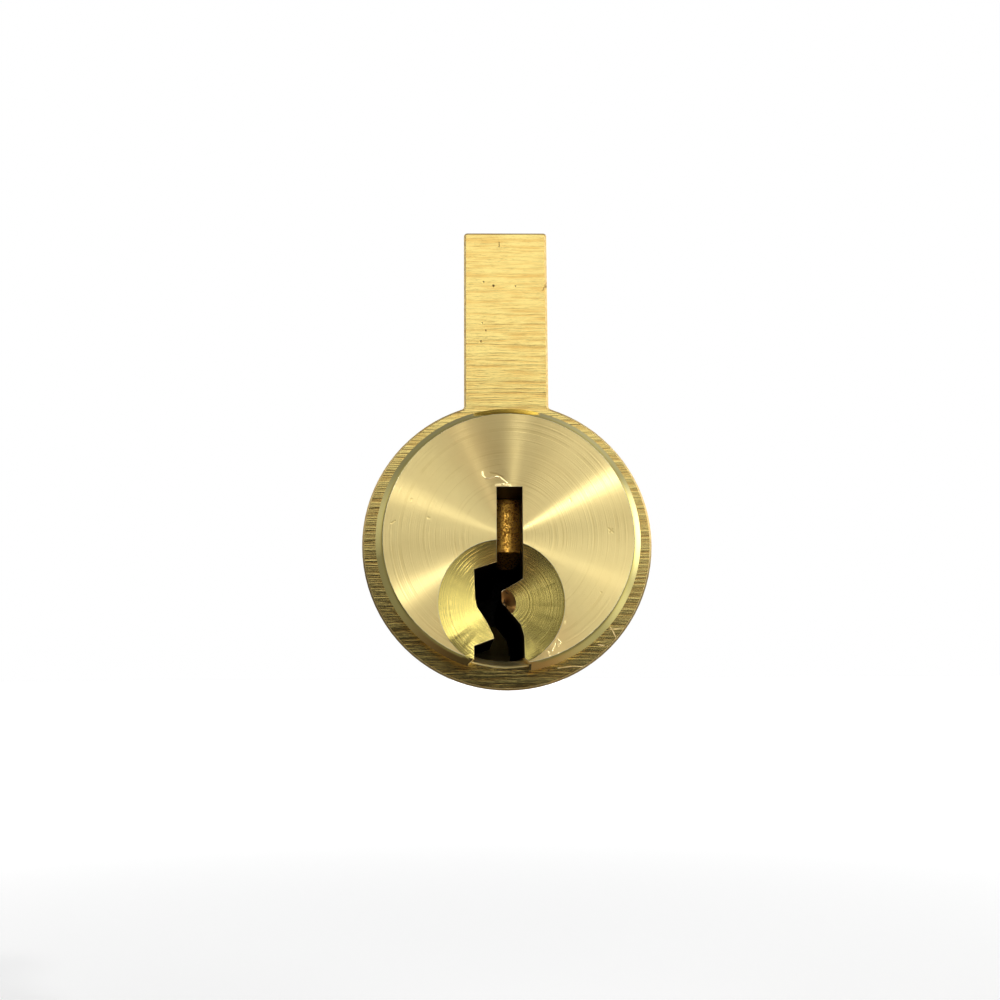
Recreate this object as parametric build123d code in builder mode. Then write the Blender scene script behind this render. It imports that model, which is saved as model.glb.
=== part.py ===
"""Key-in-lever lock cylinder: a turned plug with a keyway in a barrel-and-bible shell, six pin stacks above it.

Millimetres, +Z up. The origin is on the plug's axis in the plane of the shell's front face. The plug's face looks
towards -Y, the shell runs back along +Y, and the bible, which holds the pin stacks, stands up along +Z.
The pins are drawn with their tops at the shear line, as the right key holds them, so the plug is free to turn.
"""
from build123d import *
from math import cos, radians, sin, sqrt, tan
import os

os.makedirs("parts", exist_ok=True)

# Plug: the turned core, with a wider head in front of the shell and a thinner tail behind it
plug_diameter = 12.7
plug_clearance = 0.05
head_lap = 0.585
head_stand_off = 3.2
head_bevel_width = 0.45
head_bevel_depth = 0.8
head_back_gap = 0.05
body_end_inset = 0.3
tail_step = 0.55
tail_end_bevel = 0.3

# Barrel and bible of the shell, which is one piece
barrel_wall = 1.55
bible_wall = 0.86
bible_rise = 9.95
bible_foot_fillet = 0.35
bible_top_fillet = 0.2
front_edge_bevel = 0.12
bore_mouth_bevel = 0.3
rear_land = 4.2

# Keyway, as seen at the face: places across from the plug's axis, and up from the lowest point of the head's rim,
# each side from the top down
slot_left = -0.62
slot_right = 0.74
slot_top = 9.615
left_shoulder = 5.705
left_ward = ((-1.80, 5.315), (-1.75, 3.815), (-1.64, 3.365), (-1.19, 2.685), (-0.82, 1.935), (-0.78, 1.745))
left_tooth = ((-1.80, 1.375), (-1.80, 0.735))
right_shoulder = 4.825
right_ward = ((-0.39, 4.185), (-0.36, 3.655), (0.61, 2.455), (0.77, 1.855), (0.79, 0.735))
mouth_left = -2.13
mouth_right = 1.13
mouth_top = 0.435

# Dish cut round the keyway, and the small pilot cone at its middle, placed as the keyway is
dish_center = (-0.39, 3.555)
dish_radius = 3.285
dish_angle = 14
pilot_center = (-0.16, 3.575)
pilot_radius = 0.77
pilot_angle = 32

# Pin stacks
first_pin_y = 2.67
pin_pitch = 3.97
chamber_diameter = 3.0
bottom_pin_clearance = 0.04
driver_pin_clearance = 0.06
bottom_pin_lengths = (7.45, 6.70, 7.10, 6.30, 6.90, 5.95)
driver_pin_length = 4.57
pin_bevel = 0.3
pin_point_length = 0.9
pin_point_radius = 0.35
shear_gap = 0.03
longest_pin_drop = 0.36
chamber_floor_gap = 0.03

# Pin springs
spring_clearance = 0.2
spring_wire = 0.32
spring_turns = 4.5
spring_end_gap = 0.02

# Spring cover: a strip slid from behind into a dovetail groove in the bible's top, as wide as the chambers
cover_thickness = 1.0
cover_undercut = 0.2
cover_side_gap = 0.03
cover_sunk = 0.08
cover_front_wall = 0.9

# Tailpiece: a round head with two flats, let into the plug's tail, and the flat bar on it that turns the lock
tailpiece_head_thickness = 1.6
tailpiece_head_lap = 1.1
tailpiece_flat_lap = 0.1
tailpiece_side_room = 0.7
tailpiece_thickness = 1.6
tailpiece_reach = 12.0
tailpiece_gap = 0.06
tailpiece_corner = 0.5

# Retaining cap on the plug's tail, and its locking pin
cap_skirt = 0.93
cap_length = 3.4
cap_wall = 0.9
cap_thread_gap = 0.02
cap_end_play = 0.08
cap_tail_gap = 0.05
cap_edge_bevel = 0.3
cap_hole_inset = 1.1
cap_eye_wall = 0.7
cap_hole_count = 5
cap_notch_count = 10
cap_notch_radius = 0.45
cap_notch_length = 1.6
cap_pin_diameter = 1.3
cap_pin_gap = 0.05
cap_pin_length = 3.0
cap_pin_nose = 0.6
cap_pin_nose_bevel = 0.25
cap_pin_turn = 90
cap_spring_wire = 0.2
cap_spring_length = 1.9
cap_spring_turns = 4

# Sizes that follow from those above
plug_radius = plug_diameter / 2
bore_radius = plug_radius + plug_clearance
barrel_radius = bore_radius + barrel_wall
head_radius = bore_radius + head_lap
tail_radius = plug_radius - tail_step
chamber_radius = chamber_diameter / 2
bible_width = chamber_diameter + 2 * bible_wall
bible_top = barrel_radius + bible_rise
face_y = -head_stand_off
pin_ys = [first_pin_y + pin_pitch * i for i in range(len(bottom_pin_lengths))]
shell_length = pin_ys[-1] + rear_land
bottom_pin_radius = chamber_radius - bottom_pin_clearance
driver_radius = chamber_radius - driver_pin_clearance
pin_flat_radius = bottom_pin_radius - pin_bevel
pin_top_z = sqrt((plug_radius - shear_gap) ** 2 - pin_flat_radius ** 2)
chamber_floor_z = pin_top_z - max(bottom_pin_lengths) - longest_pin_drop - chamber_floor_gap
driver_bottom_z = plug_radius + shear_gap
driver_top_z = driver_bottom_z + driver_pin_length
cover_bottom_z = bible_top - cover_sunk - cover_thickness
cover_top_width = chamber_diameter
cover_bottom_width = cover_top_width + 2 * cover_undercut
cap_front = shell_length + cap_end_play
cap_back = cap_front + cap_length
cap_inner_radius = tail_radius + cap_thread_gap
cap_radius = cap_inner_radius + cap_skirt
tail_end = cap_back - cap_wall - cap_tail_gap
cap_pin_radius = cap_pin_diameter / 2
cap_pin_hole_radius = cap_pin_radius + cap_pin_gap
cap_hole_circle = tail_radius - cap_hole_inset
cap_eye_radius = cap_hole_circle - cap_pin_hole_radius - cap_eye_wall
tailpiece_width = 2 * (cap_eye_radius - tailpiece_side_room)
tailpiece_head_radius = cap_eye_radius + tailpiece_head_lap
tailpiece_flat_height = cap_eye_radius + tailpiece_flat_lap
cap_pin_x = cap_hole_circle * cos(radians(cap_pin_turn))
cap_pin_z = cap_hole_circle * sin(radians(cap_pin_turn))
cap_pin_end = tail_end + cap_pin_nose
cap_pin_start = cap_pin_end - cap_pin_length
cap_spring_start = cap_pin_start - cap_spring_length


def across(y):
    """A plane square to the plug's axis at y, seen from the front: x to the right, z up."""
    return Plane.XZ.offset(-y)


def face_plane(x, height, depth=0):
    """A plane square to the plug's axis, its origin x across and height above the lowest point of the head's rim."""
    return Plane(origin=(x, face_y + depth, height - head_radius), x_dir=(1, 0, 0), z_dir=(0, -1, 0))


def finish(piece, name):
    """Labels a piece and writes it."""
    piece.part.label = name
    export_step(piece.part, f"parts/{name}.step")


def turned_pin(y, half_section):
    """A pin turned about the upright axis of the stack at y, from a closed half section of (radius, z) points."""
    with BuildPart() as pin:
        with BuildSketch(across(y)):
            with BuildLine():
                Polyline(*half_section, close=True)
            make_face()
        revolve(axis=Axis((0, y, 0), (0, 0, 1)))
    return pin


def coil(start, direction, length, outer_diameter, wire, turns):
    """A compression spring of square wire from the point start along direction, length long over its end turns."""
    first_turn = Vector(*start) + Vector(*direction) * (wire / 2)
    with BuildPart() as spring:
        with BuildLine() as path:
            Helix(
                (length - wire) / turns,
                length - wire,
                (outer_diameter - wire) / 2,
                center=first_turn,
                direction=direction,
            )
        wire_start = path.line @ 0
        with BuildSketch(Plane(origin=wire_start, x_dir=wire_start - first_turn, z_dir=path.line % 0)):
            Rectangle(wire, wire)
        sweep(path=path.line, is_frenet=True)
    return spring


# Barrel and bible
with BuildPart() as shell:
    with BuildSketch(across(0)) as shell_section:
        Circle(barrel_radius)
        with Locations((0, bible_top / 2)):
            Rectangle(bible_width, bible_top)
        foot_height = sqrt(barrel_radius ** 2 - (bible_width / 2) ** 2)
        feet = shell_section.vertices().filter_by(lambda v: abs(v.Z - foot_height) < bible_foot_fillet)
        fillet(feet, bible_foot_fillet)
        fillet(shell_section.vertices().group_by(Axis.Z)[-1], bible_top_fillet)
        Circle(bore_radius, mode=Mode.SUBTRACT)
    extrude(amount=-shell_length)
    front_face = shell.faces().sort_by(Axis.Y)[0]
    chamfer(front_face.outer_wire().edges(), front_edge_bevel)
    chamfer(shell.faces().sort_by(Axis.Y)[0].inner_wires().edges(), bore_mouth_bevel)
    with Locations(*[(0, y, bible_top) for y in pin_ys]):
        Hole(chamber_radius, depth=bible_top)
    with BuildSketch(across(cover_front_wall)):
        with BuildLine():
            Polyline(
                (-cover_bottom_width / 2 - cover_side_gap, cover_bottom_z),
                (cover_bottom_width / 2 + cover_side_gap, cover_bottom_z),
                (cover_top_width / 2 + cover_side_gap, bible_top),
                (-cover_top_width / 2 - cover_side_gap, bible_top),
                close=True,
            )
        make_face()
    extrude(amount=cover_front_wall - shell_length, mode=Mode.SUBTRACT)
finish(shell, "shell")

# Spring cover
with BuildPart() as spring_cover:
    with BuildSketch(across(cover_front_wall + cover_side_gap)):
        with BuildLine():
            Polyline(
                (-cover_bottom_width / 2, cover_bottom_z),
                (cover_bottom_width / 2, cover_bottom_z),
                (cover_top_width / 2, bible_top - cover_sunk),
                (-cover_top_width / 2, bible_top - cover_sunk),
                close=True,
            )
        make_face()
    extrude(amount=cover_front_wall + cover_side_gap - shell_length)
finish(spring_cover, "spring_cover")

# Plug
with BuildPart() as plug:
    with BuildSketch(Plane.XY):
        with BuildLine():
            Polyline(
                (0, face_y),
                (head_radius - head_bevel_width, face_y),
                (head_radius, face_y + head_bevel_depth),
                (head_radius, -head_back_gap),
                (plug_radius, -head_back_gap),
                (plug_radius, shell_length - body_end_inset),
                (tail_radius, shell_length - body_end_inset),
                (tail_radius, tail_end - tail_end_bevel),
                (tail_radius - tail_end_bevel, tail_end),
                (0, tail_end),
                close=True,
            )
        make_face()
    revolve(axis=Axis.Y)
    dish_depth = (dish_radius - pilot_radius) * tan(radians(dish_angle))
    with Locations(face_plane(*dish_center)):
        Cone(
            pilot_radius,
            dish_radius,
            dish_depth,
            align=(Align.CENTER, Align.CENTER, Align.MAX),
            mode=Mode.SUBTRACT,
        )
    with Locations(face_plane(*pilot_center, dish_depth)):
        Cone(
            0,
            pilot_radius,
            pilot_radius * tan(radians(pilot_angle)),
            align=(Align.CENTER, Align.CENTER, Align.MAX),
            mode=Mode.SUBTRACT,
        )
    with BuildSketch(face_plane(0, 0)):
        with BuildLine():
            Polyline(
                (slot_left, slot_top),
                (slot_left, left_shoulder),
                *left_ward,
                *left_tooth,
                (mouth_left, mouth_top),
                (mouth_left, 0),
                (mouth_right, 0),
                (mouth_right, mouth_top),
                *reversed(right_ward),
                (slot_right, right_shoulder),
                (slot_right, slot_top),
                close=True,
            )
        make_face()
    extrude(amount=face_y - tail_end, mode=Mode.SUBTRACT)
    for y in pin_ys:
        with BuildSketch(across(y)):
            with BuildLine():
                Polyline(
                    (0, chamber_floor_z),
                    (pin_point_radius, chamber_floor_z),
                    (chamber_radius, chamber_floor_z + pin_point_length),
                    (chamber_radius, plug_radius),
                    (0, plug_radius),
                    close=True,
                )
            make_face()
        revolve(axis=Axis((0, y, 0), (0, 0, 1)), mode=Mode.SUBTRACT)
    with Locations(Plane(origin=(cap_pin_x, tail_end, cap_pin_z), z_dir=(0, 1, 0))):
        Hole(cap_pin_hole_radius, depth=tail_end - cap_spring_start)
    with BuildSketch(across(tail_end)):
        Circle(tailpiece_head_radius + tailpiece_gap)
        Rectangle(
            2 * (tailpiece_head_radius + tailpiece_gap),
            2 * (tailpiece_flat_height + tailpiece_gap),
            mode=Mode.INTERSECT,
        )
    extrude(amount=tailpiece_head_thickness, mode=Mode.SUBTRACT)
finish(plug, "plug")

# Pin stacks: a bottom pin in the plug, a driver pin and a spring above it in the bible
for number, (y, length) in enumerate(zip(pin_ys, bottom_pin_lengths), start=1):
    tip_z = pin_top_z - length
    bottom_pin = turned_pin(
        y,
        [
            (0, tip_z),
            (pin_point_radius, tip_z),
            (bottom_pin_radius, tip_z + pin_point_length),
            (bottom_pin_radius, pin_top_z - pin_bevel),
            (pin_flat_radius, pin_top_z),
            (0, pin_top_z),
        ],
    )
    finish(bottom_pin, f"bottom_pin_{number}")
    driver_pin = turned_pin(
        y,
        [
            (0, driver_bottom_z),
            (driver_radius - pin_bevel, driver_bottom_z),
            (driver_radius, driver_bottom_z + pin_bevel),
            (driver_radius, driver_top_z - pin_bevel),
            (driver_radius - pin_bevel, driver_top_z),
            (0, driver_top_z),
        ],
    )
    finish(driver_pin, f"driver_pin_{number}")
    pin_spring = coil(
        (0, y, driver_top_z + spring_end_gap),
        (0, 0, 1),
        cover_bottom_z - driver_top_z - 2 * spring_end_gap,
        chamber_diameter - 2 * spring_clearance,
        spring_wire,
        spring_turns,
    )
    finish(pin_spring, f"pin_spring_{number}")

# Retaining cap: a cup screwed on the tail, with an eye for the tailpiece and holes for the locking pin
with BuildPart() as plug_cap:
    with BuildSketch(Plane.XY):
        with BuildLine():
            Polyline(
                (cap_inner_radius, cap_front),
                (cap_radius - cap_edge_bevel, cap_front),
                (cap_radius, cap_front + cap_edge_bevel),
                (cap_radius, cap_back - cap_edge_bevel),
                (cap_radius - cap_edge_bevel, cap_back),
                (cap_eye_radius, cap_back),
                (cap_eye_radius, cap_back - cap_wall),
                (cap_inner_radius, cap_back - cap_wall),
                close=True,
            )
        make_face()
    revolve(axis=Axis.Y)
    with Locations(across(cap_back - cap_wall)):
        with PolarLocations(cap_hole_circle, cap_hole_count, start_angle=cap_pin_turn):
            Hole(cap_pin_hole_radius, depth=cap_wall)
    with Locations(across(cap_back - cap_notch_length)):
        with PolarLocations(cap_radius, cap_notch_count):
            Hole(cap_notch_radius, depth=cap_notch_length)
finish(plug_cap, "plug_cap")

# Locking pin of the cap, with its spring
with BuildPart() as cap_pin:
    with BuildSketch(across(cap_pin_start)):
        with Locations((cap_pin_x, cap_pin_z)):
            Circle(cap_pin_radius)
    extrude(amount=-cap_pin_length)
    chamfer(cap_pin.edges().sort_by(Axis.Y)[-1], cap_pin_nose_bevel)
finish(cap_pin, "cap_pin")

cap_pin_spring = coil(
    (cap_pin_x, cap_spring_start + spring_end_gap, cap_pin_z),
    (0, 1, 0),
    cap_spring_length - 2 * spring_end_gap,
    cap_pin_diameter,
    cap_spring_wire,
    cap_spring_turns,
)
finish(cap_pin_spring, "cap_pin_spring")

# Tailpiece: its head sits in the recess in the plug's tail, held there by the cap's wall
with BuildPart() as tailpiece:
    with BuildSketch(across(tail_end)):
        Circle(tailpiece_head_radius)
        Rectangle(2 * tailpiece_head_radius, 2 * tailpiece_flat_height, mode=Mode.INTERSECT)
    extrude(amount=tailpiece_head_thickness)
    with Locations((0, tail_end, 0)):
        Box(
            tailpiece_width,
            cap_back + tailpiece_reach - tail_end,
            tailpiece_thickness,
            align=(Align.CENTER, Align.MIN, Align.CENTER),
        )
    chamfer(tailpiece.faces().sort_by(Axis.Y)[-1].edges().filter_by(Axis.Z), tailpiece_corner)
finish(tailpiece, "tailpiece")
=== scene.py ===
# %% [markdown]
# A key-in-lever lock cylinder, dressed for the camera.
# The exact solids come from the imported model. Blender adds what an exact solid lacks: the marks that the
# lathe, the mill and the broach left in the brass, the eased edges, the wear, and a studio for the metal to
# reflect. Everything is in metres. The plug's axis is the Y axis, the face looks towards -Y, and the bible
# stands up along +Z.

# %% Load the solids
from functools import reduce
from math import cos, pi, radians, sin

import bmesh
import bpy
from mathutils import Matrix, Vector


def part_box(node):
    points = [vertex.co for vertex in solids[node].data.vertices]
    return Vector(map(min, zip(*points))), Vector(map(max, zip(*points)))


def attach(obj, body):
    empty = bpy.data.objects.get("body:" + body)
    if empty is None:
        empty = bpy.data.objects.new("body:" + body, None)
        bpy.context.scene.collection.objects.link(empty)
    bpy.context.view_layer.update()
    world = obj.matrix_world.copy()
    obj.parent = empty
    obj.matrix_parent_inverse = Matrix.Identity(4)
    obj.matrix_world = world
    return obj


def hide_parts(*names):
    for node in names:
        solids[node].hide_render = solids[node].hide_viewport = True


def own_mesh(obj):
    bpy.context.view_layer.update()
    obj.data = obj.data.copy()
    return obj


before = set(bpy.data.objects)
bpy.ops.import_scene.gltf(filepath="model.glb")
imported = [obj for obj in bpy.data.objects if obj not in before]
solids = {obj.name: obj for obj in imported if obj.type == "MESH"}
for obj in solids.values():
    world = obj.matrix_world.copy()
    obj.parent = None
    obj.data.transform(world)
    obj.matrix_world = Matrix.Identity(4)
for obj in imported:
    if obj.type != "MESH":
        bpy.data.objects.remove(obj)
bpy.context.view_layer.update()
MM = 0.001
print("solids loaded:", len(solids))

# %% [markdown]
# The sizes that the finishes need are measured on the solids, so they follow the model if it changes. Only
# the plug's body and the dish, which no box gives, are written again. The dish's tool marks run round a
# point a little beside the dish's own middle, so that point has its own name.

# %% Measure the solids
face_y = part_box("plug")[0].y
head_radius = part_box("plug")[1].x
barrel_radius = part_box("shell")[1].x
bible_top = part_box("shell")[1].z
shell_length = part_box("shell")[1].y
body_radius = 6.35 * MM
dish_center = Vector((-0.39, -3.43)) * MM
dish_radius = 3.285 * MM
turning_center = Vector((-0.15, -3.41)) * MM
print("face at", round(face_y / MM, 2), "mm, head radius", round(head_radius / MM, 3), "mm")

# %% [markdown]
# The camera stands where the photographer's did: 60 mm in front of the shell and a little below the plug's
# axis, looking up by nine degrees, which is why the head hangs low over the barrel. Its rotation is built
# from three directions, right, up and back, because they are the columns of a rotation matrix.

# %% Camera
camera_place = Vector((-1.469, -60.0, -6.806)) * MM
camera_pitch = radians(8.734)
camera_yaw = radians(1.039)
camera_roll = radians(-0.325)
lens_mm = 39.65

level_ahead = Vector((sin(camera_yaw), cos(camera_yaw), 0))
forward = cos(camera_pitch) * level_ahead + Vector((0, 0, sin(camera_pitch)))
level_right = Vector((cos(camera_yaw), -sin(camera_yaw), 0))
level_up = level_right.cross(forward)
right = cos(camera_roll) * level_right + sin(camera_roll) * level_up
up = cos(camera_roll) * level_up - sin(camera_roll) * level_right
turn_of_camera = Matrix((right, up, -forward)).transposed().to_4x4()

camera = bpy.data.objects.new("camera", bpy.data.cameras.new("camera"))
camera.data.lens = lens_mm
camera.data.sensor_width = 36
camera.data.clip_start = 1 * MM
camera.data.clip_end = 10
camera.matrix_world = Matrix.Translation(camera_place) @ turn_of_camera
bpy.context.scene.collection.objects.link(camera)
bpy.context.scene.camera = camera
bpy.context.scene.view_settings.view_transform = "Standard"
print("camera", round(camera_place.length / MM, 1), "mm from the origin")

# %% [markdown]
# A shader is a small program, and a long chain of nodes is hard to read. A Field wraps one socket, so that
# 1 - mask or radius * 20 is written as plain maths and each step adds its own node. A Finish is one
# material, and its node method makes any other node from its type, its settings and its inputs.

# %% Fields
class Field:
    """A number or a vector that changes over a surface: one output socket of a node tree."""

    def __init__(self, finish, socket):
        self.finish = finish
        self.socket = socket

    def maths(self, operation, *others, first=None):
        values = [first, self] if first is not None else [self, *others]
        return self.finish.node("ShaderNodeMath", {"operation": operation}, dict(enumerate(values)))

    def __add__(self, other):
        return self.maths("ADD", other)

    def __sub__(self, other):
        return self.maths("SUBTRACT", other)

    def __mul__(self, other):
        return self.maths("MULTIPLY", other)

    def __truediv__(self, other):
        return self.maths("DIVIDE", other)

    def __rsub__(self, other):
        return self.maths("SUBTRACT", first=other)

    def __rtruediv__(self, other):
        return self.maths("DIVIDE", first=other)

    __radd__ = __add__
    __rmul__ = __mul__

    def __abs__(self):
        return self.maths("ABSOLUTE")

    def smaller(self, other):
        return self.maths("MINIMUM", other)

    def larger(self, other):
        return self.maths("MAXIMUM", other)

    def rise(self, low, high):
        """0 below low, 1 above high, and a smooth step between them. With high under low, it falls."""
        turned = low > high
        settings = {"interpolation_type": "SMOOTHSTEP"}
        inputs = {"Value": self, "From Min": min(low, high), "From Max": max(low, high)}
        inputs |= {"To Min": 1.0 * turned, "To Max": 1.0 - turned}
        return self.finish.node("ShaderNodeMapRange", settings, inputs)

    def bump_at(self, center, half_width):
        """1 at center, falling smoothly to 0 at half_width on both sides."""
        return abs(self - center).rise(half_width, 0)


def largest(fields):
    """At each point, the largest of several fields."""
    return reduce(Field.larger, fields)


print("fields ready")

# %% Finishes
class Finish:
    """One material: a node tree with helpers that keep its recipe short."""

    def __init__(self, name):
        self.material = bpy.data.materials.new(name)
        self.material.use_nodes = True
        self.tree = self.material.node_tree
        self.tree.nodes.clear()

    def node(self, kind, settings=None, inputs=None, output=0):
        made = self.tree.nodes.new(kind)
        for name, value in (settings or {}).items():
            setattr(made, name, value)
        for name, value in (inputs or {}).items():
            self.feed(made.inputs[name], value)
        return Field(self, made.outputs[output])

    def feed(self, socket, value):
        """Links a field to a socket, or sets the socket to a plain value. None leaves it as it is."""
        if isinstance(value, Field):
            self.tree.links.new(value.socket, socket)
        elif value is not None:
            socket.default_value = value

    def vector(self, operation, *values, output=0):
        settings = {"operation": operation}
        return self.node("ShaderNodeVectorMath", settings, dict(enumerate(values)), output)

    def join(self, x, y, z):
        return self.node("ShaderNodeCombineXYZ", inputs={0: x, 1: y, 2: z})

    def split(self, joined):
        apart = self.node("ShaderNodeSeparateXYZ", inputs={0: joined})
        return [Field(self, socket) for socket in apart.socket.node.outputs]

    def length(self, joined):
        return self.vector("LENGTH", joined, output="Value")

    def place(self):
        """x, y and z of the point on the piece, in its own frame, in millimetres."""
        coordinates = self.node("ShaderNodeTexCoord", output="Object")
        return self.split(self.vector("MULTIPLY", coordinates, (1 / MM, 1 / MM, 1 / MM)))

    def grain(self, place, detail=2, roughness=0.5):
        """Soft noise from 0 to 1 about one unit of place apart. place is a vector, or one number."""
        flat = place.socket.type == "VALUE"
        settings = {"noise_dimensions": "1D" if flat else "3D"}
        inputs = {"W" if flat else "Vector": place, "Scale": 1, "Detail": detail, "Roughness": roughness}
        return self.node("ShaderNodeTexNoise", settings, inputs)

    def cloud(self, place, per_mm, detail=2, roughness=0.5):
        """Grain that is alike in all three directions, with per_mm units of it in a millimetre."""
        return self.grain(self.join(*(value * per_mm for value in place)), detail, roughness)

    def blend(self, mask, low, high):
        """low where mask is 0 and high where it is 1. Both are colours."""
        as_color = [c if isinstance(c, Field) else (*c, 1) for c in (low, high)]
        made = self.tree.nodes.new("ShaderNodeMix")
        made.data_type = "RGBA"
        for socket, value in zip((made.inputs[0], made.inputs[6], made.inputs[7]), (mask, *as_color)):
            self.feed(socket, value)
        return Field(self, made.outputs[2])

    def stroke(self, place, points, half_width):
        """1 along the line through points, x and y in millimetres, falling to 0 at half_width beside it."""
        flat = self.join(place[0], place[1], 0.0)
        distances = []
        for start, end in zip(points, points[1:]):
            a, b = Vector((*start, 0)), Vector((*end, 0))
            run = b - a
            from_start = self.vector("SUBTRACT", flat, tuple(a))
            share = self.vector("DOT_PRODUCT", from_start, tuple(run / run.length_squared), output="Value")
            inputs = {0: tuple(run), "Scale": share.larger(0).smaller(1)}
            foot = self.node("ShaderNodeVectorMath", {"operation": "SCALE"}, inputs)
            distances.append(self.length(self.vector("SUBTRACT", from_start, foot)))
        return reduce(Field.smaller, distances).rise(half_width, 0)

    def relief(self, height):
        """The normal of a surface that stands height millimetres proud of the mesh."""
        return self.node("ShaderNodeBump", inputs={"Strength": 1, "Distance": MM, "Height": height})

    def metal(self, color, roughness, normal, anisotropy=0, turn=0):
        """Ends the recipe with a metal of this colour. anisotropy stretches its highlights."""
        inputs = {"Base Color": color, "Roughness": roughness, "Normal": normal, "Metallic": 1}
        inputs |= {"Anisotropic": anisotropy, "Anisotropic Rotation": turn}
        self.end(self.node("ShaderNodeBsdfPrincipled", inputs=inputs))
        return self.material

    def end(self, shader, kind="ShaderNodeOutputMaterial"):
        made = self.tree.nodes.new(kind)
        self.tree.links.new(shader.socket, made.inputs[0])


print("finishes ready")

# %% [markdown]
# Brass has no colour of its own in the way paint has: it shows the room, tinted. So the studio matters more
# than the finish. The room here is white to the camera, but the metal sees what stood round the
# photographer. The world is a finish too, so it uses the same maths, on the direction that a ray leaves in.
# A direction has a tilt away from straight ahead and a clock position, both in degrees, with 0 at three
# o'clock and 90 at twelve. across and height are where the ray meets a plane in front of the part.

# %% Directions in the room
class Room(Finish):
    """The world's node tree, with the same helpers."""

    def __init__(self):
        world = bpy.data.worlds.new("room")
        world.use_nodes = True
        bpy.context.scene.world = world
        self.tree = world.node_tree
        self.tree.nodes.clear()


TO_DEGREES = 180 / pi
LEAST_AHEAD = 0.05

room = Room()
ray_x, ray_y, ray_z = room.split(room.node("ShaderNodeTexCoord", output="Generated"))
ahead = ray_y * -1
across = ray_x / ahead.larger(LEAST_AHEAD)
height = ray_z / ahead.larger(LEAST_AHEAD)
tilt = ahead.maths("ARCCOSINE") * TO_DEGREES
clock = ray_z.maths("ARCTAN2", ray_x) * TO_DEGREES


def glows(rows):
    """The sum of soft glows round the clock, one for each row of strength, clock position and half width."""
    return sum(strength * clock.bump_at(position, half_width) for strength, position, half_width in rows)


print("directions ready")

# %% [markdown]
# In front stands a dark phone with soft edges, which took the photograph, and round it the walls and the
# window of a room. The tilt says which piece mirrors a direction: the dish sees the ring near 28 degrees,
# and the rays of the turned face gather what lies further out. So each of these rings has its own glows. A
# glow with a minus is a darker stretch of wall.

# %% The room in front
INNER_GLOWS = ((0.75, 33, 11), (0.35, -44, 8), (0.4, -162, 7), (-0.22, 128, 40), (0.08, -64, 28),
               (-0.4, -8, 9))
DISH_GLOWS = ((2.2, 31, 9), (2.5, -170, 4))
OUTER_GLOWS = ((1.6, 8, 24), (4.4, 58, 32), (2.1, 133, 22), (-1.1, 93, 27))
INNER_LEVEL = 0.36
OUTER_LEVEL = 1.2
EDGE_LEVEL = 0.5
DIMMED = 0.6

phone = ahead.rise(0.05, 0.3) * height.rise(0.25, 0.06) * height.rise(-0.52, -0.32)
phone = phone * across.rise(0.38, 0.12) * across.rise(-0.5, -0.24)
beside = clock.rise(44, 37) * clock.rise(-28, -15)
below = clock.rise(-165, -130) * clock.rise(-40, -60)
far_left = abs(clock).rise(145, 168)
dish_ring = tilt.bump_at(28, 8)
inner = INNER_LEVEL + 0.62 * beside - 0.2 * below + 0.18 * far_left
inner = inner + glows(INNER_GLOWS) + glows(DISH_GLOWS) * dish_ring

right_wall = clock.rise(-82, -60) * clock.rise(14, 0)
outside = OUTER_LEVEL + 3.1 * right_wall + glows(OUTER_GLOWS)
outer = tilt.rise(38, 45)
walls = inner * (1 - outer) + outside * outer

middle_part = tilt.rise(70, 56)
window = height.rise(0.08, 0.25) * height.rise(0.72, 0.52) * abs(across).rise(0.26, 0.1) * (1 - outer)
left_gap = ray_x.rise(-0.72, -0.9)
low_back = ray_y.rise(-0.3, 0.1) * ray_z.rise(-0.25, -0.6)
ceiling = ray_z.rise(0.6, 0.85)
front_room = (EDGE_LEVEL + (walls - EDGE_LEVEL) * middle_part + 0.8 * window) * (1 - 0.95 * phone)
for dim_place in (left_gap, low_back, ceiling):
    front_room = front_room * (1 - DIMMED * dim_place)
print("front of the room built")

# %% [markdown]
# The bevel of the head is so steep that it mirrors what lies behind the part: a dim room with a bright
# place at the right and a brown floor. The camera itself sees plain white in every direction.

# %% The room behind, and the sky
BACK_GLOWS = ((0.3, 50, 42), (0.36, 162, 26), (2.6, 11, 26), (0.55, -20, 22), (0.2, -45, 45),
              (-0.19, -108, 50))
BROWN_GLOWS = ((1, -72, 30), (1, -122, 34))
BACK_LEVEL = 0.25
WARM_LIGHT = (1, 0.68, 0.55)

behind = ray_y.rise(0.22, 0.38)
seen_by_metal = front_room * (1 - behind) + (BACK_LEVEL + glows(BACK_GLOWS)) * behind
brown_floor = behind * glows(BROWN_GLOWS).smaller(1)
warmth = (below * tilt.rise(18, 24) * tilt.rise(60, 45)).larger(brown_floor)
tint = room.blend(warmth, (1, 1, 1), WARM_LIGHT)
lit = room.node("ShaderNodeBackground", inputs={0: tint, 1: seen_by_metal})
white = room.node("ShaderNodeBackground", inputs={0: (1, 1, 1, 1), 1: 1})
seen_by_camera = room.node("ShaderNodeLightPath", output="Is Camera Ray")
sky = room.node("ShaderNodeMixShader", inputs={0: seen_by_camera, 1: lit, 2: white})
room.end(sky, "ShaderNodeOutputWorld")
print("room built with", len(room.tree.nodes), "nodes")

# %% [markdown]
# On a turned face the tool marks are circles. Each one throws light out along its radius, so a lamp shows
# not as a spot but as a bright ray through the centre, at the lamp's own clock position, and again
# opposite. The photograph's rays therefore say where its lamps stood: about two o'clock, ten o'clock, and
# two thin ones near twelve. The lamp for the pins stands almost straight in front.

# %% Lamps
FACE_CENTER = Vector((0, face_y, 0))
STUDIO_DISTANCE = 400 * MM


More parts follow.
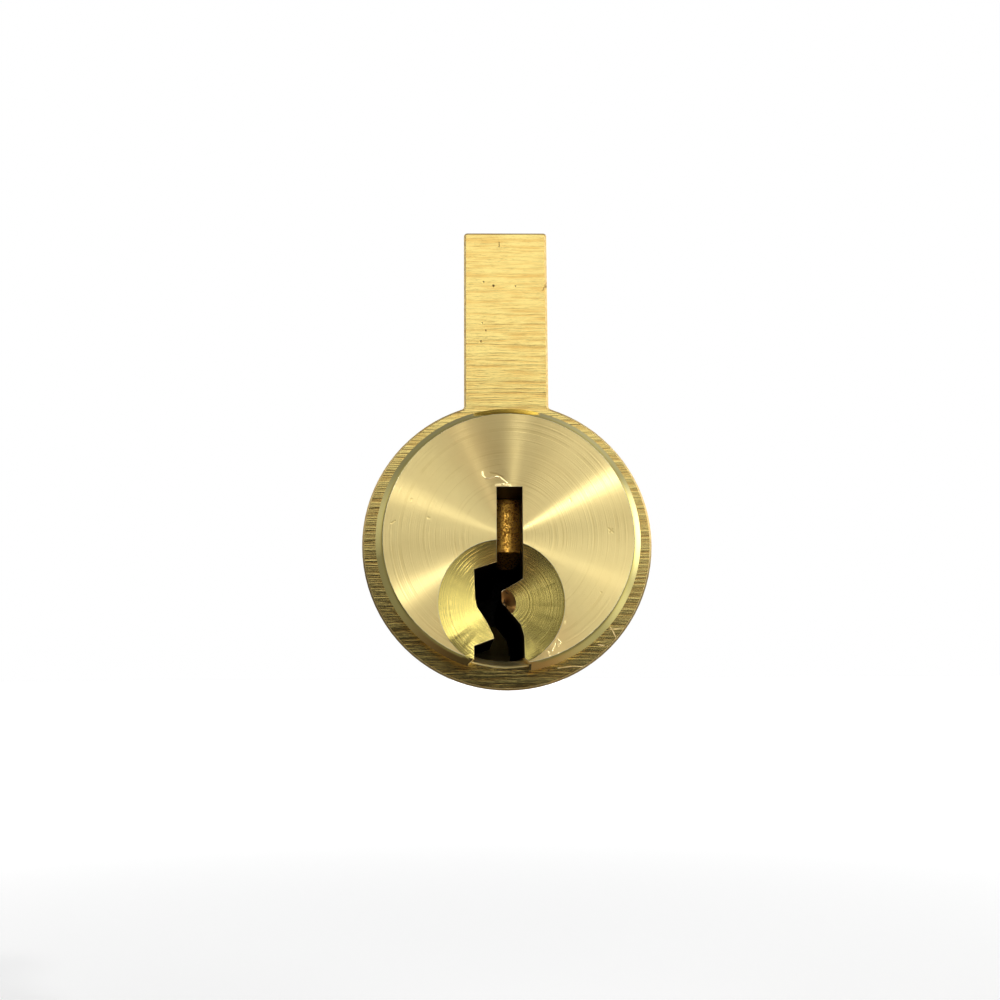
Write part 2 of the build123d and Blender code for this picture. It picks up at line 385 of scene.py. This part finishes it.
def lamp(name, position, lean, size, radiance, distance=STUDIO_DISTANCE):
    """A square lamp at a clock position round the face and lean degrees off its axis, aimed at the face."""
    data = bpy.data.lights.new(name, "AREA")
    data.size = size
    data.energy = radiance * pi * size * size
    made = bpy.data.objects.new(name, data)
    round_face, off_axis = radians(position), radians(lean)
    sideways = Vector((cos(round_face), 0, sin(round_face)))
    away = sin(off_axis) * sideways - Vector((0, cos(off_axis), 0))
    made.location = FACE_CENTER + away * distance
    made.rotation_euler = away.to_track_quat("Z", "Y").to_euler()
    bpy.context.scene.collection.objects.link(made)
    return made


lamp("lamp_two_o_clock", position=35, lean=60, size=22 * MM, radiance=400)
lamp("lamp_ten_o_clock", position=150, lean=62, size=50 * MM, radiance=36)
thin_lamps = [
    lamp("lamp_twelve", position=84, lean=66, size=7 * MM, radiance=1200),
    lamp("lamp_eleven", position=109, lean=66, size=7 * MM, radiance=620),
]
pin_lamp = lamp("lamp_on_the_pin", position=90, lean=6, size=60 * MM, radiance=13, distance=300 * MM)

# %% [markdown]
# The part is made to be held in a lever, so it hangs free here. A pale floor lies under it, far enough down
# that its shadow stays out of the photograph's view. The floor's own light is seen by the camera alone and
# grows with distance, so that the floor fades into the white room with no horizon.

# %% Floor
floor_drop = 45 * MM
floor_reach = 4
plaster_gray = 0.6
near_light, far_light = 0.45, 0.95
fade_start_mm, fade_end_mm = 90, 420

floor_mesh = bpy.data.meshes.new("floor")
sides_of_floor = ((-1, -1), (1, -1), (1, 1), (-1, 1))
corners = [(x * floor_reach, y * floor_reach, -floor_drop) for x, y in sides_of_floor]
floor_mesh.from_pydata(corners, [], [(0, 1, 2, 3)])
floor = bpy.data.objects.new("floor", floor_mesh)
bpy.context.scene.collection.objects.link(floor)
floor.visible_glossy = False

pale = Finish("pale_floor")
plaster = pale.node("ShaderNodeBsdfDiffuse", inputs={0: (plaster_gray, plaster_gray, plaster_gray, 1)})
seen = pale.node("ShaderNodeLightPath", output="Is Camera Ray")
x_mm, y_mm, z_mm = pale.place()
fade = pale.length(pale.join(x_mm, y_mm, 0.0)).rise(fade_start_mm, fade_end_mm)
strength = seen * (near_light + (far_light - near_light) * fade)
own_light = pale.node("ShaderNodeEmission", inputs={0: (1, 1, 1, 1), 1: strength})
pale.end(pale.node("ShaderNodeAddShader", inputs={0: plaster, 1: own_light}))
floor_mesh.materials.append(pale.material)
print("floor", round(floor_drop / MM), "mm under the plug's axis")

# %% [markdown]
# The turned finishes. Rings of several widths, drawn by noise of the radius alone, stand for the marks of
# the tool. The highlight is stretched along the radius as well, which gives the rays even where the rings
# are too fine to see. The marks that the face has picked up are strokes: the torn curl and the torn lip
# over the slot, dents and nicks, and metal scraped up beside the dish.

# %% Marks on the face
CURL = ((-1.36, 3.42), (-1.34, 3.22), (-1.2, 3.08), (-0.95, 3.08), (-0.7, 3.16), (-0.45, 3.13), (-0.1, 2.84))
CURL_EDGE = ((-0.95, 3.36), (-0.6, 3.3), (-0.3, 3.14))
TORN_LIP = ((-0.66, 2.7), (-0.3, 2.76), (0.1, 2.7))
DENTS = (((-5.1, 1.9), (-5.05, 2.0)), ((-4.2, 1.02), (-4.12, 0.98)), ((3.2, 1.98), (3.27, 1.84)),
         ((4.74, -2.9), (4.77, -2.92)), ((5.2, 0.42), (5.45, 0.2)), ((5.25, 0.2), (5.4, 0.38)),
         ((-6.1, 0.72), (-5.9, 0.85)), CURL_EDGE)
SCRAPES = (((2.5, -5.3), (2.63, -5.47), (2.5, -5.66)), ((2.36, -5.5), (2.2, -5.9)),
           ((2.0, -5.94), (2.06, -6.18)), ((2.5, -6.0), (2.46, -6.2)), ((2.84, -4.4), (2.87, -4.52)))
DENT_WIDTH, CURL_WIDTH, LIP_WIDTH, SCRAPE_WIDTH = 0.075, 0.06, 0.11, 0.05


def face_marks(finish, place):
    """Where the face is dug in, and where metal is torn up."""
    dug = largest(finish.stroke(place, points, DENT_WIDTH) for points in DENTS)
    across_face = finish.join(place[0] * 9, place[1] * 9, 0.0)
    ragged = finish.grain(across_face, detail=3, roughness=0.7).rise(0.35, 0.65)
    torn = [finish.stroke(place, CURL, CURL_WIDTH), finish.stroke(place, TORN_LIP, LIP_WIDTH) * ragged]
    torn += [finish.stroke(place, points, SCRAPE_WIDTH) * ragged for points in SCRAPES]
    return dug, largest(torn)


print("face marks:", len(DENTS), "dents,", len(SCRAPES), "scrapes")

# %% Turned brass
FACE_BRASS = (0.94, 0.76, 0.33)
FACE_TARNISH = (0.72, 0.54, 0.20)
TORN_BRASS = (1.0, 0.95, 0.82)
RING_WANDER = 0.05
DENT_DEPTH = 0.007
CURL_HEIGHT = 0.018
ALONG_RADIUS = 0.25


def turned(name, color, tarnish, roughness, depth, pitch, anisotropy=0, center=(0, 0), marks=None, detail=6):
    """Brass turned about center: rings pitch apart and finer ones between, with clouds of faint tarnish."""
    finish = Finish(name)
    place = finish.place()
    radius = finish.length(finish.join(place[0] - center[0] / MM, place[1] - center[1] / MM, 0.0))
    radius = radius + finish.cloud(place, 0.5) * RING_WANDER
    rings = finish.grain(radius / pitch, detail=detail, roughness=0.75)
    uneven = finish.cloud(place, 0.8).rise(0.3, 0.7)
    height = (rings - 0.5) * depth * (0.5 + uneven)
    cloud = finish.cloud(place, 0.35, detail=4, roughness=0.6).rise(0.35, 0.75)
    groove = rings.rise(0.5, 0.25) * uneven
    worn = (cloud * 0.25 + groove * 0.42).smaller(1)
    if marks:
        dug, torn = marks(finish, place)
        height = height - dug * DENT_DEPTH + torn * CURL_HEIGHT
        worn = (worn + dug * 0.7 - torn * 0.6).larger(0)
    shade = finish.blend(worn, color, tarnish)
    if marks:
        shade = finish.blend(torn * 0.2, shade, TORN_BRASS)
    return finish.metal(shade, roughness + cloud * 0.03, finish.relief(height), anisotropy, turn=ALONG_RADIUS)


turned_face = turned(
    "turned_face", FACE_BRASS, FACE_TARNISH, 0.32, 0.009, 0.17, 1.0, marks=face_marks, detail=3
)
turned_bevel = turned("turned_bevel", (0.84, 0.72, 0.22), FACE_TARNISH, 0.12, 0.0015, 0.12, 0.4, detail=2)
turned_body = turned("turned_body", FACE_BRASS, FACE_TARNISH, 0.28, 0.006, 0.2, 0.8, detail=3)
turned_dish = turned(
    "turned_dish", (0.86, 0.70, 0.20), (0.6, 0.44, 0.1), 0.19, 0.007, 0.09, 0.7,
    center=turning_center, detail=3,
)
# The pilot cone's near-black brown is painted shade for the deep drill point in the dish.
pilot_cone_painted_shade = turned(
    "pilot_cone_painted_shade", (0.09, 0.045, 0.012), (0.04, 0.02, 0.006), 0.3, 0.006, 0.12, center=turning_center
)
# The eased rims are worn brass, and their paler colour is partly a painted highlight for the thin bright
# edges.
rim_wear_and_painted_highlight = turned("rim_wear_and_painted_highlight", (0.95, 0.84, 0.55), (0.8, 0.62, 0.3), 0.3, 0.01, 0.3)
print("turned finishes ready")

# %% [markdown]
# The keyway is cut by a long toothed broach and is never polished. Its walls are painted nearly black,
# a painted shade for the dark inside of the narrow slot.

# %% Broached keyway
KEYWAY_SHADE_BLACK = (0.008, 0.006, 0.004)
KEYWAY_SHADE_BROWN = (0.03, 0.02, 0.011)
BROACH_DEPTH = 0.003


def broached():
    finish = Finish("broached_keyway")
    x, y, z = finish.place()
    lines = finish.grain(finish.join(x * 14, y * 14, z * 0.5), detail=3)
    # painted shade: the walls are coloured nearly black and dark brown because the slot's inside lies in
    # shade
    shade = finish.blend(lines, KEYWAY_SHADE_BLACK, KEYWAY_SHADE_BROWN)
    return finish.metal(shade, 0.5, finish.relief(lines * BROACH_DEPTH))


keyway_walls = broached()
print("keyway finish ready")

# %% [markdown]
# The shell's front is milled square to the axis. The cutter leaves level lines, 0.1 to 0.3 mm apart, that
# wander a little and stop short here and there, with a darker band where it slowed down. A few pits and
# dark scratches cross them on the bible. Low on the barrel some scratches are fresh and bright, and the
# outer edge there is darkened, a painted shade.

# %% Marks on the shell, and painted shade on its edge
PITS = ((-0.71, 14.72, 0.09), (-1.25, 14.95, 0.06), (0.54, 14.7, 0.06), (-1.34, 12.53, 0.05),
        (-1.14, 12.09, 0.06), (-1.42, 11.45, 0.07), (2.28, 14.7, 0.12))
SCRATCHES = (((-0.36, 17.3), (-0.36, 17.05)), ((2.36, 14.95), (2.1, 14.45)))
BRIGHT_SCRATCHES = (((5.56, -4.55), (5.72, -4.82), (5.94, -5.36)), ((5.5, -4.72), (6.1, -4.66), (6.6, -4.6)),
                    ((6.7, -4.3), (6.35, -4.85), (5.8, -5.24)), ((2.7, -6.76), (3.4, -6.68), (4.4, -6.7)),
                    ((4.9, -5.52), (5.4, -5.6), (5.9, -5.56)))
SCRATCH_WIDTH, BRIGHT_WIDTH = 0.05, 0.042
EDGE_SHADE_START, EDGE_SHADE_END = 7.82, 7.88


def shell_marks_and_edge_shade(finish, x, y, z):
    """Where the shell is dug in, where it is scratched bright, and where its lower outer edge gets painted
    shade.
    """
    front = (x, z)
    pit_ends = [((px, pz), (px + size * 0.3, pz + size * 0.1)) for px, pz, size in PITS]
    dug = [finish.stroke(front, ends, pit[2]) for ends, pit in zip(pit_ends, PITS)]
    dug += [finish.stroke(front, points, SCRATCH_WIDTH) * 0.6 for points in SCRATCHES]
    ragged = finish.grain(finish.join(x * 3, y, z * 3), detail=3).rise(0.34, 0.56)
    bright = largest(finish.stroke(front, points, BRIGHT_WIDTH) for points in BRIGHT_SCRATCHES) * ragged
    # painted shade: the outer edge is darkened, low on the barrel only
    edge_painted_shade = (x * x + z * z).rise(EDGE_SHADE_START ** 2, EDGE_SHADE_END ** 2) * z.rise(1, -2)
    return largest(dug), bright, edge_painted_shade


print("shell marks:", len(PITS), "pits,", len(SCRATCHES) + len(BRIGHT_SCRATCHES), "scratches")

# %% Milled and drawn brass
SHELL_BRASS = (0.98, 0.77, 0.26)
SHELL_ORANGE = (0.82, 0.50, 0.13)
PIT_BROWN = (0.12, 0.07, 0.02)
FRESH_BRASS = (0.95, 0.76, 0.46)
EDGE_SHADE_BROWN = (0.16, 0.11, 0.04)
PIT_DEPTH = 0.015
ALONG_X, ALONG_Y = 0, 1


def lined(name, along, color, groove_color, roughness, depth, pitch, marks=False):
    """Brass with straight tool lines along one axis of the piece, about pitch apart and depth deep."""
    finish = Finish(name)
    x, y, z = place = finish.place()
    wander = finish.cloud(place, 0.25, detail=1) * 0.25
    step = [value / pitch for value in (x, y, z + wander * (along == ALONG_X))]
    step[along] = place[along] * 0.13
    lines = finish.grain(finish.join(*step), detail=6, roughness=0.62)
    fine = [value / (pitch * 0.3) for value in place]
    fine[along] = place[along] * 0.5
    strokes = finish.grain(finish.join(*fine), detail=3, roughness=0.6)
    height = (lines - 0.5) * depth + (strokes - 0.5) * depth * 0.4
    cloud = finish.cloud(place, 0.4, detail=4, roughness=0.6).rise(0.4, 0.8)
    groove = (lines * 0.55 + strokes * 0.45).rise(0.55, 0.4)
    worn = groove * 0.75 + cloud * 0.15
    roughness = roughness + cloud * 0.06
    stains_and_shade = []
    if marks:
        dug, bright, edge_painted_shade = shell_marks_and_edge_shade(finish, x, y, z)
        height = height * (1 - bright * 0.7) - dug * PIT_DEPTH
        worn = worn + dug * 0.8
        roughness = roughness + bright * 0.45
        # Pits and bright scratches are the brass's own colour; the dark outer edge is painted shade.
        stains_and_shade = [(dug * 0.8, PIT_BROWN), (bright * 0.8, FRESH_BRASS), (edge_painted_shade * 0.75, EDGE_SHADE_BROWN)]
    shade = finish.blend(worn.smaller(1), color, groove_color)
    for mask, overlay_color in stains_and_shade:
        shade = finish.blend(mask, shade, overlay_color)
    return finish.metal(shade, roughness, finish.relief(height))


milled_front = lined("milled_front", ALONG_X, SHELL_BRASS, SHELL_ORANGE, 0.16, 0.018, 0.3, marks=True)
milled_edge = lined("milled_edge", ALONG_X, (0.96, 0.76, 0.34), SHELL_ORANGE, 0.4, 0.03, 0.2, marks=True)
milled_rear = lined("milled_rear", ALONG_X, SHELL_BRASS, SHELL_ORANGE, 0.24, 0.012, 0.3)
# The lip's paler colour is a painted highlight for the thin bright arc at the bore's mouth.
milled_lip_painted_highlight = lined("milled_lip_painted_highlight", ALONG_X, (0.98, 0.86, 0.5), SHELL_BRASS, 0.6, 0.002, 0.3)
drawn_side = lined("drawn_side", ALONG_Y, SHELL_BRASS, SHELL_ORANGE, 0.26, 0.0035, 0.12)
bored = lined("bored", ALONG_X, (0.5, 0.36, 0.13), (0.3, 0.2, 0.06), 0.35, 0.006, 0.15)
print("lined finishes ready")

# %% [markdown]
# The small pieces: pins turned from brass and browned by oil, springs of bronze wire, a cover of brass
# strip and a steel tailpiece. The pins have faint rings and are pitted with dark specks.

# %% Small finishes
SPECK_DEPTH = 0.014
PIN_RING_DEPTH = 0.005
WIRE_DEPTH = 0.002


def pin_finish(name, color, dark):
    finish = Finish(name)
    x, y, z = finish.place()
    turning = finish.grain(z * 14)
    specks = finish.grain(finish.join(x * 8, y * 8, z * 11), detail=3, roughness=0.7).rise(0.45, 0.65)
    shade = finish.blend(specks, color, dark)
    height = turning * PIN_RING_DEPTH - specks * SPECK_DEPTH
    return finish.metal(shade, 0.36 + specks * 0.1, finish.relief(height))


def wire_finish(name, color, roughness):
    finish = Finish(name)
    streaks = finish.cloud(finish.place(), 5, detail=4, roughness=0.7)
    shade = finish.blend(streaks.rise(0.4, 0.8), color, tuple(c * 0.6 for c in color))
    return finish.metal(shade, roughness, finish.relief(streaks * WIRE_DEPTH))


oiled_pin = pin_finish("oiled_pin", (0.90, 0.48, 0.08), (0.5, 0.18, 0.025))
driver_brass = pin_finish("driver_brass", (0.72, 0.52, 0.2), (0.4, 0.27, 0.09))
bronze_wire = wire_finish("bronze_wire", (0.72, 0.46, 0.22), 0.28)
strip_brass = lined("strip_brass", ALONG_Y, SHELL_BRASS, SHELL_ORANGE, 0.25, 0.003, 0.14)
sheared_steel = lined("sheared_steel", ALONG_Y, (0.44, 0.43, 0.41), (0.3, 0.29, 0.27), 0.36, 0.004, 0.22)
print("small finishes ready")

# %% [markdown]
# A solid from the model is copied when it needs more than one finish, because each face of the copy can
# name its own. A copy along the plug has its own Z axis on the plug's axis, and that is what makes the
# stretched highlights run in circles. Wear has rounded some edges, and each of those gets a narrow face in
# place of its corner.

# %% Copy a solid into its own frame
JOIN_DISTANCE = 0.0002 * MM
FLAT_WITHIN = radians(0.2)
SHARP_OVER = radians(22)
EASE_WIDTH = 0.05 * MM


def ease_edges(shape, ease):
    """Bevels the edges that ease chooses and marks their new faces, for the finish that they take."""
    eased = shape.faces.layers.int.new("eased")
    if ease is None:
        return
    worn = [edge for edge in shape.edges if len(edge.link_faces) == 2 and ease(edge)]
    made = bmesh.ops.bevel(
        shape, geom=worn, offset=EASE_WIDTH, segments=1, profile=0.5, affect="EDGES", clamp_overlap=True
    )
    for face in made["faces"]:
        face[eased] = 1
    print("eased edges:", len(worn), "faces:", len(made["faces"]))


def copy_solid(node, name, body, along_plug=True, ease=None):
    """A new piece with the shape of a solid, its corners joined, its flat faces whole and its edges eased."""
    turn = Matrix.Rotation(pi / 2, 4, "X") if along_plug else Matrix.Identity(4)
    shape = bmesh.new()
    shape.from_mesh(solids[node].data)
    shape.transform(turn.inverted())
    bmesh.ops.remove_doubles(shape, verts=shape.verts, dist=JOIN_DISTANCE)
    bmesh.ops.dissolve_limit(shape, angle_limit=FLAT_WITHIN, verts=shape.verts, edges=shape.edges)
    ease_edges(shape, ease)
    mesh = bpy.data.meshes.new(name)
    shape.to_mesh(mesh)
    shape.free()
    mesh.polygons.foreach_set("use_smooth", [True] * len(mesh.polygons))
    mesh.set_sharp_from_angle(angle=SHARP_OVER)
    made = bpy.data.objects.new(name, mesh)
    made.matrix_world = turn
    bpy.context.scene.collection.objects.link(made)
    flats = made.modifiers.new("flat faces keep their normals", "WEIGHTED_NORMAL")
    flats.weight = 100
    flats.keep_sharp = True
    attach(made, body)
    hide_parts(node)
    return made


def dress(piece, finishes, choose):
    """Gives each face the finish that choose names from its middle, its normal and whether it is eased."""
    names = list(finishes)
    piece.data.materials.clear()
    for name in names:
        piece.data.materials.append(finishes[name])
    eased = piece.data.attributes["eased"].data
    for face, mark in zip(piece.data.polygons, eased):
        face.material_index = names.index(choose(face.center / MM, face.normal, mark.value))


def highlights_round_axis(piece):
    """Centers the space that stretched highlights take their direction from on the piece's own axis."""
    piece.data.use_auto_texspace = False
    piece.data.texspace_location = (0, 0, 0)
    piece.data.texspace_size = (head_radius, head_radius, head_radius)


print("copying is ready")

# %% [markdown]
# The plug's faces are told apart by where they lie and which way they look. In the copy's frame x runs
# across, y up and z out of the face. A normal's z says how steep a face is: 1 is flat to the front, the
# dish is a little under it, the bevel is about a half, and the walls of the keyway are at 0.

# %% The plug
FRONT = -face_y / MM
FLAT = 0.999
DISH_STEEPEST = 0.94
PILOT_STEEPEST = 0.8
BEVEL_SLOPE = (0.4, 0.6)


def between(value, limits):
    return limits[0] < value < limits[1]


def edge_middle(edge):
    return (edge.verts[0].co + edge.verts[1].co) / 2 / MM


def front_rim(edge):
    """The keyway's edges where it breaks out through the front, and the borders of the dish and the face."""
    first, second = sorted((face.normal.z for face in edge.link_faces), reverse=True)
    middle = edge_middle(edge)
    broached_edge = first > PILOT_STEEPEST and abs(second) < 0.05 and middle.xy.length < 6.6
    dish_border = first > FLAT and between(second, (DISH_STEEPEST, 0.99)) and middle.xy.length < 6.1
    face_border = first > FLAT and between(second, BEVEL_SLOPE)
    return middle.z > FRONT - 1.2 and (broached_edge or dish_border or face_border)


def plug_region(middle, normal, eased):
    """Which finish a face of the plug takes."""
    radius = middle.xy.length
    in_dish = (middle.xy - dish_center / MM).length < dish_radius / MM + 0.1
    looks_out = normal.xy.dot(middle.xy) > 0
    if eased:
        return "rim"
    if normal.z > FLAT and middle.z > FRONT - 0.01:
        return "face"
    if middle.z > FRONT - 0.7 and DISH_STEEPEST < normal.z <= FLAT and in_dish:
        return "dish"
    if middle.z > FRONT - 1.5 and PILOT_STEEPEST < normal.z <= DISH_STEEPEST:
        return "pilot"
    if middle.z > FRONT - 0.81 and between(normal.z, BEVEL_SLOPE) and radius > 6.4:
        return "bevel"
    if radius > body_radius / MM - 0.02 and looks_out:
        return "body"
    if abs(normal.z) > 0.9 and radius > body_radius / MM:
        return "body"
    return "keyway"


plug = copy_solid("plug", "turned_plug", "plug", ease=front_rim)
plug_finishes = {"face": turned_face, "bevel": turned_bevel, "body": turned_body, "dish": turned_dish}
dress(plug, plug_finishes | {"pilot": pilot_cone_painted_shade, "keyway": keyway_walls, "rim": rim_wear_and_painted_highlight}, plug_region)
highlights_round_axis(plug)
print("plug faces", len(plug.data.polygons))

# %% [markdown]
# The shell keeps the model's own directions, because its tool lines are straight. Its front has a milled
# edge all round and an eased lip where the bore opens. The lip's paler colour is a painted highlight.

# %% The shell
def mouth_rim(edge):
    """The edge between the front and the bevel of the bore's mouth."""
    first, second = sorted(face.normal.y for face in edge.link_faces)
    middle = edge_middle(edge)
    on_front = abs(middle.y) < 0.01 and first < -0.99
    return on_front and between(second, (-0.9, -0.5)) and middle.length < 6.9


def shell_region(middle, normal, eased):
    """Which finish a face of the shell takes: front, eased edges, bore and chambers, or sides."""
    radius = middle.xz.length
    if eased:
        return "lip"
    if normal.y < -0.99 and middle.y < 0.01:
        return "front"
    if between(normal.y, (-0.99, -0.3)) and middle.y < 1:
        return "lip" if radius < barrel_radius / MM - 0.9 else "edge"
    if normal.y > 0.99 and middle.y > shell_length / MM - 0.01:
        return "rear"
    if radius < barrel_radius / MM - 1.2 and abs(normal.y) < 0.9:
        return "bore"
    under_cover = middle.z < bible_top / MM - 0.5
    in_chambers = abs(middle.x) < 1.6 and under_cover and between(middle.y, (0.5, 25))
    return "bore" if in_chambers and abs(normal.y) < 0.9 else "side"


shell = copy_solid("shell", "milled_shell", "shell", along_plug=False, ease=mouth_rim)
shell_finishes = {"front": milled_front, "edge": milled_edge, "lip": milled_lip_painted_highlight, "rear": milled_rear}
dress(shell, shell_finishes | {"bore": bored, "side": drawn_side}, shell_region)
print("shell faces", len(shell.data.polygons))

# %% [markdown]
# The retaining cap is turned like the plug's body. The walls of its holes are plainer and darker.

# %% The retaining cap
def cap_region(middle, normal, eased):
    """A wall inside the rim that doesn't look straight out belongs to a hole."""
    wall = abs(normal.z) < 0.1 and middle.xy.length < 6.5
    return "holes" if wall and normal.xy.dot(middle.xy) < 0.9 * middle.xy.length else "turned"


cap = copy_solid("plug_cap", "turned_cap", "plug")
dress(cap, {"turned": turned_body, "holes": bored}, cap_region)
highlights_round_axis(cap)
print("cap faces", len(cap.data.polygons))

# %% [markdown]
# The rest of the solids have one finish each, so they need no copy: only their material changes.

# %% Plain solids
plain = {"spring_cover": strip_brass, "cap_pin": oiled_pin, "tailpiece": sheared_steel}
chambers = range(1, 7)
for number in chambers:
    plain |= {f"bottom_pin_{number}": oiled_pin, f"driver_pin_{number}": driver_brass}
for node, finish in plain.items():
    solids[node].data.materials.clear()
    solids[node].data.materials.append(finish)
print("all solids dressed")

# %% [markdown]
# The first pin stands nearly six millimetres deep in a slot that is barely wider than one, so hardly any of
# the room's light reaches it. One lamp shines on the pins alone, down the slot from just above the plug's
# axis. The two thin lamps shine on the plug alone, so that they draw their rays there and leave the shell
# as it is.

# %% What the lamps light
lit_pins = bpy.data.collections.new("lit_pins")
for number in chambers:
    lit_pins.objects.link(solids[f"bottom_pin_{number}"])
pin_lamp.light_linking.receiver_collection = lit_pins
lit_plug = bpy.data.collections.new("lit_plug")
lit_plug.objects.link(plug)
for thin in thin_lamps:
    thin.light_linking.receiver_collection = lit_plug

# %% [markdown]
# The springs are square wire in the model. These are wound from round wire in the same room, with closed
# ends.

# %% Springs
WIRE_SHARE = 0.12
STEPS_A_TURN = 28
SIDES = 10
CLOSED_ENDS = 0.35


def coil_rings(outside, length, turns):
    """The rings of points round a coil's wire, about the middle of a coil that stands along Z."""
    wire = outside * WIRE_SHARE
    radius = outside - wire
    steps = int(turns * STEPS_A_TURN)
    for step in range(steps + 1):
        share = step / steps
        eased = share + CLOSED_ENDS * sin(2 * pi * share) / (2 * pi)
        angle = 2 * pi * turns * share
        rise = (eased - 0.5) * (length - 2 * wire)
        out = Vector((cos(angle), sin(angle), 0))
        turn_of_sides = [2 * pi * side / SIDES for side in range(SIDES)]
        yield [out * (radius + wire * cos(t)) + Vector((0, 0, rise + wire * sin(t))) for t in turn_of_sides]


def wound(name, node, turns, body, joint=None):
    """A coil of round wire in the box of its node, which stands along Z or lies along Y."""
    low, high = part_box(node)
    middle = (low + high) / 2
    size = high - low
    upright = size.z > size.y
    length = size.z if upright else size.y
    shape = bmesh.new()
    rings = []
    for ring in coil_rings(size.x / 2, length, turns):
        turned_ring = ring if upright else [place.xzy for place in ring]
        rings.append([shape.verts.new(middle + place) for place in turned_ring])
    for first, second in zip(rings, rings[1:]):
        for side in range(SIDES):
            after = (side + 1) % SIDES
            shape.faces.new((first[side], first[after], second[after], second[side]))
    shape.faces.new(rings[0])
    shape.faces.new(reversed(rings[-1]))
    bmesh.ops.recalc_face_normals(shape, faces=shape.faces)
    mesh = bpy.data.meshes.new(name)
    shape.to_mesh(mesh)
    shape.free()
    mesh.polygons.foreach_set("use_smooth", [True] * len(mesh.polygons))
    mesh.materials.append(bronze_wire)
    made = bpy.data.objects.new(name, mesh)
    bpy.context.scene.collection.objects.link(made)
    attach(made, body)
    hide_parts(node)
    if joint:
        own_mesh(made)


for number in chambers:
    wound(f"wound_spring_{number}", f"pin_spring_{number}", 5.5, "shell", f"driver_pin_{number}_slide")
wound("wound_cap_spring", "cap_pin_spring", 5, "plug")
print("springs wound")
